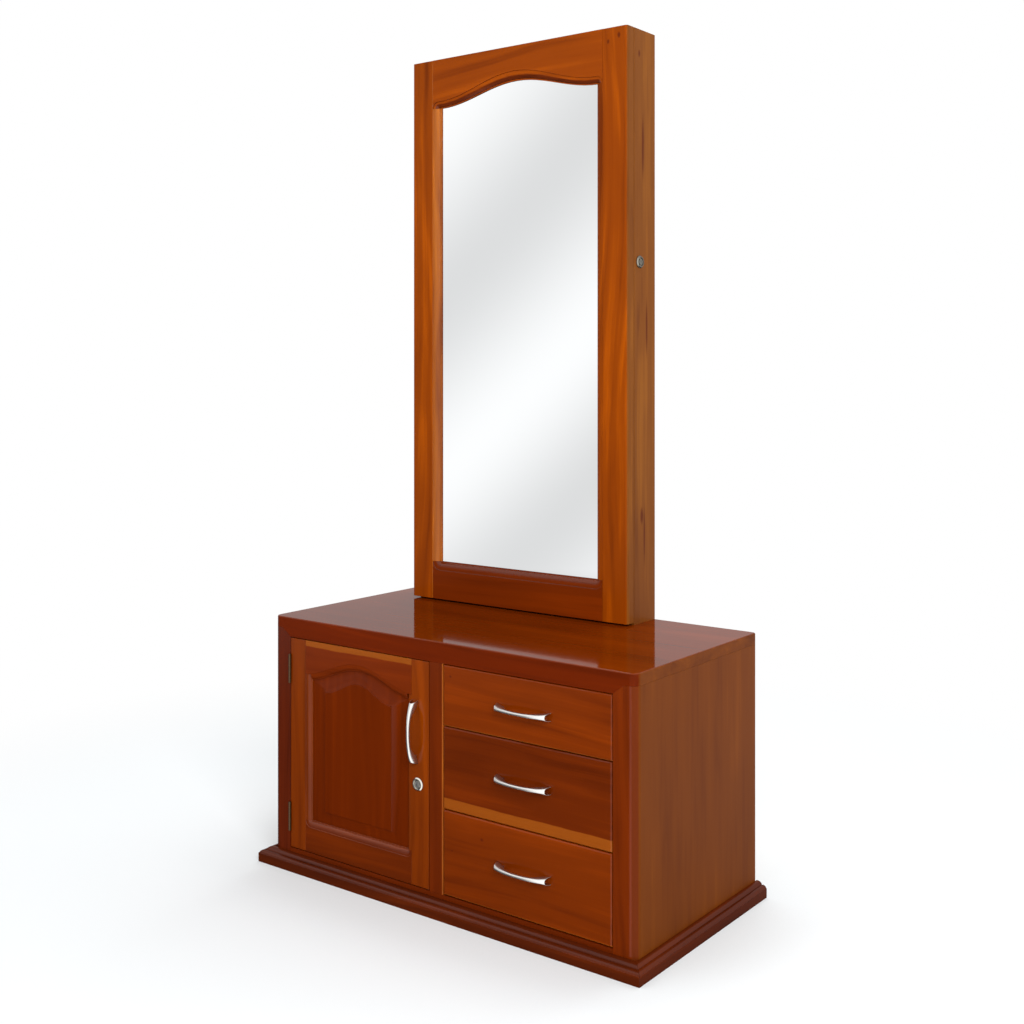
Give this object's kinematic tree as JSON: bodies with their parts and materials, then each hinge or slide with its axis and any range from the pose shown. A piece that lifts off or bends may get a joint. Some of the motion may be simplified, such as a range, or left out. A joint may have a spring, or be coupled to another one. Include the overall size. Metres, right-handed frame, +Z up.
{
  "type": "dresser with mirror",
  "caption": "Low wooden dresser with an arched panel door, drawers, bow handles and a plinth, carrying a tall shallow mirror cabinet with a wavy-topped mirror door.",
  "frame": {"origin": "centre of the footprint on the floor, under the middle of the whole object's box", "axes": "+Z up, the door and drawers face -Y, the cupboard door is at -X and the drawers at +X"},
  "size_m": [0.944, 0.476, 1.74],
  "materials": {
    "cabinet_wood": "polished red-brown hardwood, gloss lacquer",
    "front_wood": "polished orange-brown hardwood, gloss lacquer",
    "cabinet_side_wood": "red-brown hardwood, satin lacquer",
    "top_wood": "dark red-brown hardwood, high gloss",
    "plinth_wood": "dark brown moulding, satin lacquer",
    "mirror_frame_wood": "bright orange-brown hardwood, gloss lacquer",
    "tower_side_wood": "pale red-brown hardwood, satin",
    "drawer_box_wood": "plain pale wood",
    "plywood": "plain plywood",
    "mirror": "silvered glass",
    "handle_metal": "satin nickel look",
    "lock_metal": "bright nickel plate",
    "hinge_metal": "satin steel"
  },
  "bodies": {
    "carcass": {"cabinet_top": "top_wood", "cabinet_side_left": "cabinet_side_wood", "cabinet_side_right": "cabinet_side_wood", "cabinet_bottom": "cabinet_wood", "cabinet_partition": "cabinet_wood", "cabinet_back": "plywood", "cabinet_shelf": "plywood", "plinth_front": "plinth_wood", "plinth_left": "plinth_wood", "plinth_right": "plinth_wood", "tower_side_left": "tower_side_wood", "tower_side_right": "tower_side_wood", "tower_bottom": "tower_side_wood", "tower_top": "tower_side_wood", "tower_back": "plywood", "tower_shelf_lower": "plywood", "tower_shelf_upper": "plywood", "mirror_lock_body": "lock_metal", "door_hinge_top_fixed": "hinge_metal", "door_hinge_bottom_fixed": "hinge_metal", "mirror_hinge_top_fixed": "hinge_metal", "mirror_hinge_bottom_fixed": "hinge_metal"},
    "cabinet_door": {"door_stile_left": "front_wood", "door_stile_right": "front_wood", "door_rail_top": "front_wood", "door_rail_bottom": "front_wood", "door_panel": "front_wood", "door_handle": "handle_metal", "door_lock_body": "lock_metal", "door_hinge_top_moving": "hinge_metal", "door_hinge_bottom_moving": "hinge_metal"},
    "door_lock_cam": {"door_lock_plug": "lock_metal"},
    "mirror_door": {"mirror_stile_left": "mirror_frame_wood", "mirror_stile_right": "mirror_frame_wood", "mirror_rail_top": "mirror_frame_wood", "mirror_rail_bottom": "mirror_frame_wood", "mirror_glass": "mirror", "mirror_back_board": "plywood", "mirror_lock_keeper": "lock_metal", "mirror_hinge_top_moving": "hinge_metal", "mirror_hinge_bottom_moving": "hinge_metal"},
    "mirror_lock_cam": {"mirror_lock_plug": "lock_metal"},
    "drawer_top": {"drawer_top_front": "front_wood", "drawer_top_side_left": "drawer_box_wood", "drawer_top_side_right": "drawer_box_wood", "drawer_top_back": "drawer_box_wood", "drawer_top_bottom": "plywood", "drawer_top_handle": "handle_metal"},
    "drawer_middle": {"drawer_middle_front": "front_wood", "drawer_middle_side_left": "drawer_box_wood", "drawer_middle_side_right": "drawer_box_wood", "drawer_middle_back": "drawer_box_wood", "drawer_middle_bottom": "plywood", "drawer_middle_handle": "handle_metal"},
    "drawer_bottom": {"drawer_bottom_front": "front_wood", "drawer_bottom_side_left": "drawer_box_wood", "drawer_bottom_side_right": "drawer_box_wood", "drawer_bottom_back": "drawer_box_wood", "drawer_bottom_bottom": "plywood", "drawer_bottom_handle": "handle_metal"}
  },
  "joints": [
    {"name": "cabinet_door_hinge", "type": "hinge", "parent": "carcass", "child": "cabinet_door", "pos_m": [-0.401, -0.2149, 0.259], "axis": [0, 0, -1], "range_deg": [0, 105]},
    {"name": "mirror_door_hinge", "type": "hinge", "parent": "carcass", "child": "mirror_door", "pos_m": [-0.3649, 0.156, 1.13], "axis": [0, 0, -1], "range_deg": [0, 110]},
    {"name": "drawer_top_slide", "type": "slide", "parent": "carcass", "child": "drawer_top", "axis": [0, -1, 0], "range_m": [0, 0.3]},
    {"name": "drawer_middle_slide", "type": "slide", "parent": "carcass", "child": "drawer_middle", "axis": [0, -1, 0], "range_m": [0, 0.3]},
    {"name": "drawer_bottom_slide", "type": "slide", "parent": "carcass", "child": "drawer_bottom", "axis": [0, -1, 0], "range_m": [0, 0.3]},
    {"name": "door_lock_turn", "type": "hinge", "parent": "cabinet_door", "child": "door_lock_cam", "pos_m": [-0.0455, -0.212, 0.238], "axis": [0, -1, 0], "range_deg": [0, 90]},
    {"name": "mirror_lock_turn", "type": "hinge", "parent": "carcass", "child": "mirror_lock_cam", "pos_m": [0.216, 0.177, 1.262], "axis": [1, 0, 0], "range_deg": [0, 90]}
  ]
}
